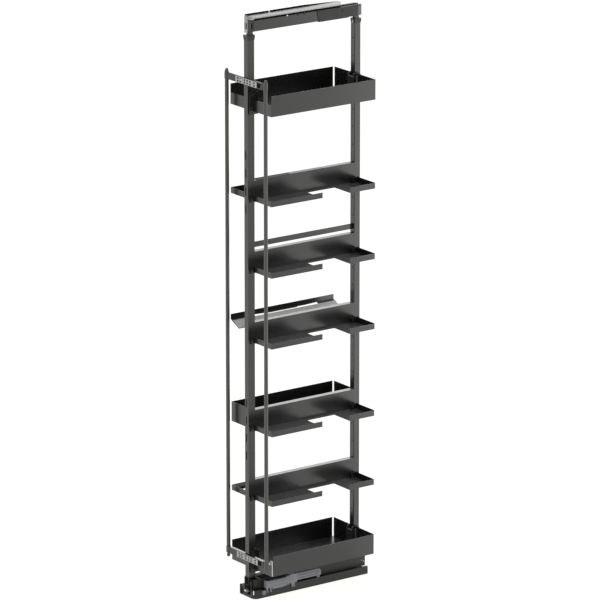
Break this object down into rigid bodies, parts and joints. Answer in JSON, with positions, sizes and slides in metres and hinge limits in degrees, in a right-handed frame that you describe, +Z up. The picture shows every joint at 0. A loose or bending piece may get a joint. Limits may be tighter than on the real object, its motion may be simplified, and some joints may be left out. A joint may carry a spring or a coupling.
{
  "type": "pull-out pantry frame",
  "caption": "Tall narrow pull-out larder frame: slotted posts with trays, notched shelves and door rods on a telescopic floor runner with a soft-close damper and an upper guide rail.",
  "frame": {"origin": "middle of the footprint, on the cabinet floor under the runner", "axes": "+Z up; -Y is the door side, the way the frame pulls out; +X is the side with the notched shelves"},
  "size_m": [0.249, 0.5024, 2.104],
  "materials": {
    "powder_coat": "satin anthracite powder coat",
    "dark_metal": "black coated steel",
    "black_plastic": "fine-grained black moulding",
    "grey_plastic": "bluish grey moulding",
    "pale_plastic": "pale nylon",
    "zinc": "bare die-cast zinc",
    "bright_steel": "bright galvanised steel",
    "dark_screw": "black zinc plated",
    "pale_mat": "pale grey anti-slip mat"
  },
  "bodies": {
    "runner": {"floor_rail": "dark_metal", "front_housing": "black_plastic", "rear_bumper": "black_plastic", "levelling_screws": "zinc", "damper_body": "grey_plastic", "damper_tube": "grey_plastic", "damper_cylinder": "bright_steel", "closing_spring": "bright_steel"},
    "lock_knob": {"lock_knob": "grey_plastic"},
    "damper_catch": {"damper_catch": "black_plastic", "damper_rod": "bright_steel"},
    "carriage": {"carriage_rail": "dark_metal", "carriage_axles": "bright_steel"},
    "floor_rollers_front": {"floor_rollers_front": "pale_plastic"},
    "floor_rollers_rear": {"floor_rollers_rear": "pale_plastic"},
    "beam_rollers_front": {"beam_rollers_front": "pale_plastic"},
    "beam_rollers_rear": {"beam_rollers_rear": "pale_plastic"},
    "frame": {"lower_beam": "dark_metal", "beam_end_cap": "black_plastic", "catch_pin": "bright_steel", "post_feet": "black_plastic", "front_post": "powder_coat", "rear_post": "powder_coat", "post_collars": "dark_metal", "spine_beam_1": "powder_coat", "spine_beam_2": "powder_coat", "spine_beam_3": "powder_coat", "spine_beam_4": "powder_coat", "spine_beam_5": "powder_coat", "near_shelf_1": "powder_coat", "near_shelf_2": "powder_coat", "near_shelf_3": "powder_coat", "near_shelf_4": "powder_coat", "near_shelf_5": "powder_coat", "far_frame_1": "powder_coat", "far_bin_2": "powder_coat", "far_tilt_shelf_3": "powder_coat", "tilt_shelf_mat": "pale_mat", "far_rail_4": "powder_coat", "far_shelf_5": "powder_coat", "top_tray": "powder_coat", "bottom_tray": "powder_coat", "shelf_clips": "black_plastic", "tray_clips": "black_plastic", "clip_screws": "dark_screw", "door_rods": "powder_coat", "rod_caps": "powder_coat", "door_bracket_top": "powder_coat", "door_bracket_bottom": "powder_coat", "door_screws": "dark_screw"},
    "door_plate_top": {"door_plate_top": "zinc"},
    "door_plate_bottom": {"door_plate_bottom": "zinc"},
    "upper_beam": {"upper_beam": "powder_coat", "upper_beam_covers": "black_plastic", "neck_tubes": "powder_coat", "front_end_bracket": "zinc"},
    "upper_carriage": {"upper_carriage": "bright_steel", "upper_glides": "black_plastic"},
    "ceiling_rail": {"ceiling_rail": "bright_steel", "rail_edge_strips": "black_plastic"}
  },
  "joints": [
    {"name": "pull_out", "type": "slide", "parent": "runner", "child": "frame", "axis": [0, -1, 0], "range_m": [0, 0.46]},
    {"name": "carriage_travel", "type": "slide", "parent": "runner", "child": "carriage", "axis": [0, -1, 0], "range_m": [0, 0.23]},
    {"name": "floor_wheel_front", "type": "hinge", "parent": "carriage", "child": "floor_rollers_front", "pos_m": [0, 0.04, 0.014], "axis": [1, 0, 0], "continuous": true},
    {"name": "floor_wheel_rear", "type": "hinge", "parent": "carriage", "child": "floor_rollers_rear", "pos_m": [0, 0.222, 0.014], "axis": [1, 0, 0], "continuous": true},
    {"name": "beam_wheel_front", "type": "hinge", "parent": "carriage", "child": "beam_rollers_front", "pos_m": [0, -0.19, 0.046], "axis": [1, 0, 0], "continuous": true},
    {"name": "beam_wheel_rear", "type": "hinge", "parent": "carriage", "child": "beam_rollers_rear", "pos_m": [0, -0.01, 0.046], "axis": [1, 0, 0], "continuous": true},
    {"name": "catch_travel", "type": "slide", "parent": "runner", "child": "damper_catch", "axis": [0, -1, 0], "range_m": [0, 0.06]},
    {"name": "lock_knob_turn", "type": "hinge", "parent": "runner", "child": "lock_knob", "pos_m": [0.05, -0.209, 0.02], "axis": [1, 0, 0], "range_deg": [0, 90]},
    {"name": "door_plate_top_shift", "type": "slide", "parent": "frame", "child": "door_plate_top", "axis": [1, 0, 0], "range_m": [-0.003, 0.003]},
    {"name": "door_plate_bottom_shift", "type": "slide", "parent": "frame", "child": "door_plate_bottom", "axis": [1, 0, 0], "range_m": [-0.003, 0.003]},
    {"name": "height_adjust", "type": "slide", "parent": "frame", "child": "upper_beam", "axis": [0, 0, 1], "range_m": [0, 0.08]},
    {"name": "upper_carriage_travel", "type": "slide", "parent": "upper_beam", "child": "upper_carriage", "axis": [0, 1, 0], "range_m": [0, 0.23]},
    {"name": "ceiling_rail_travel", "type": "slide", "parent": "upper_carriage", "child": "ceiling_rail", "axis": [0, 1, 0], "range_m": [0, 0.23]}
  ],
  "couplings": [
    {"joint": "carriage_travel", "follows": "pull_out", "ratio": 0.5},
    {"joint": "floor_wheel_front", "follows": "pull_out", "rad_per_m": 44.643},
    {"joint": "floor_wheel_rear", "follows": "pull_out", "rad_per_m": 44.643},
    {"joint": "beam_wheel_front", "follows": "pull_out", "rad_per_m": 28.249},
    {"joint": "beam_wheel_rear", "follows": "pull_out", "rad_per_m": 28.249},
    {"joint": "upper_carriage_travel", "follows": "pull_out", "ratio": 0.5},
    {"joint": "ceiling_rail_travel", "follows": "pull_out", "ratio": 0.5},
    {"joint": "catch_travel", "follows": "pull_out", "ratio": 0.1304}
  ]
}
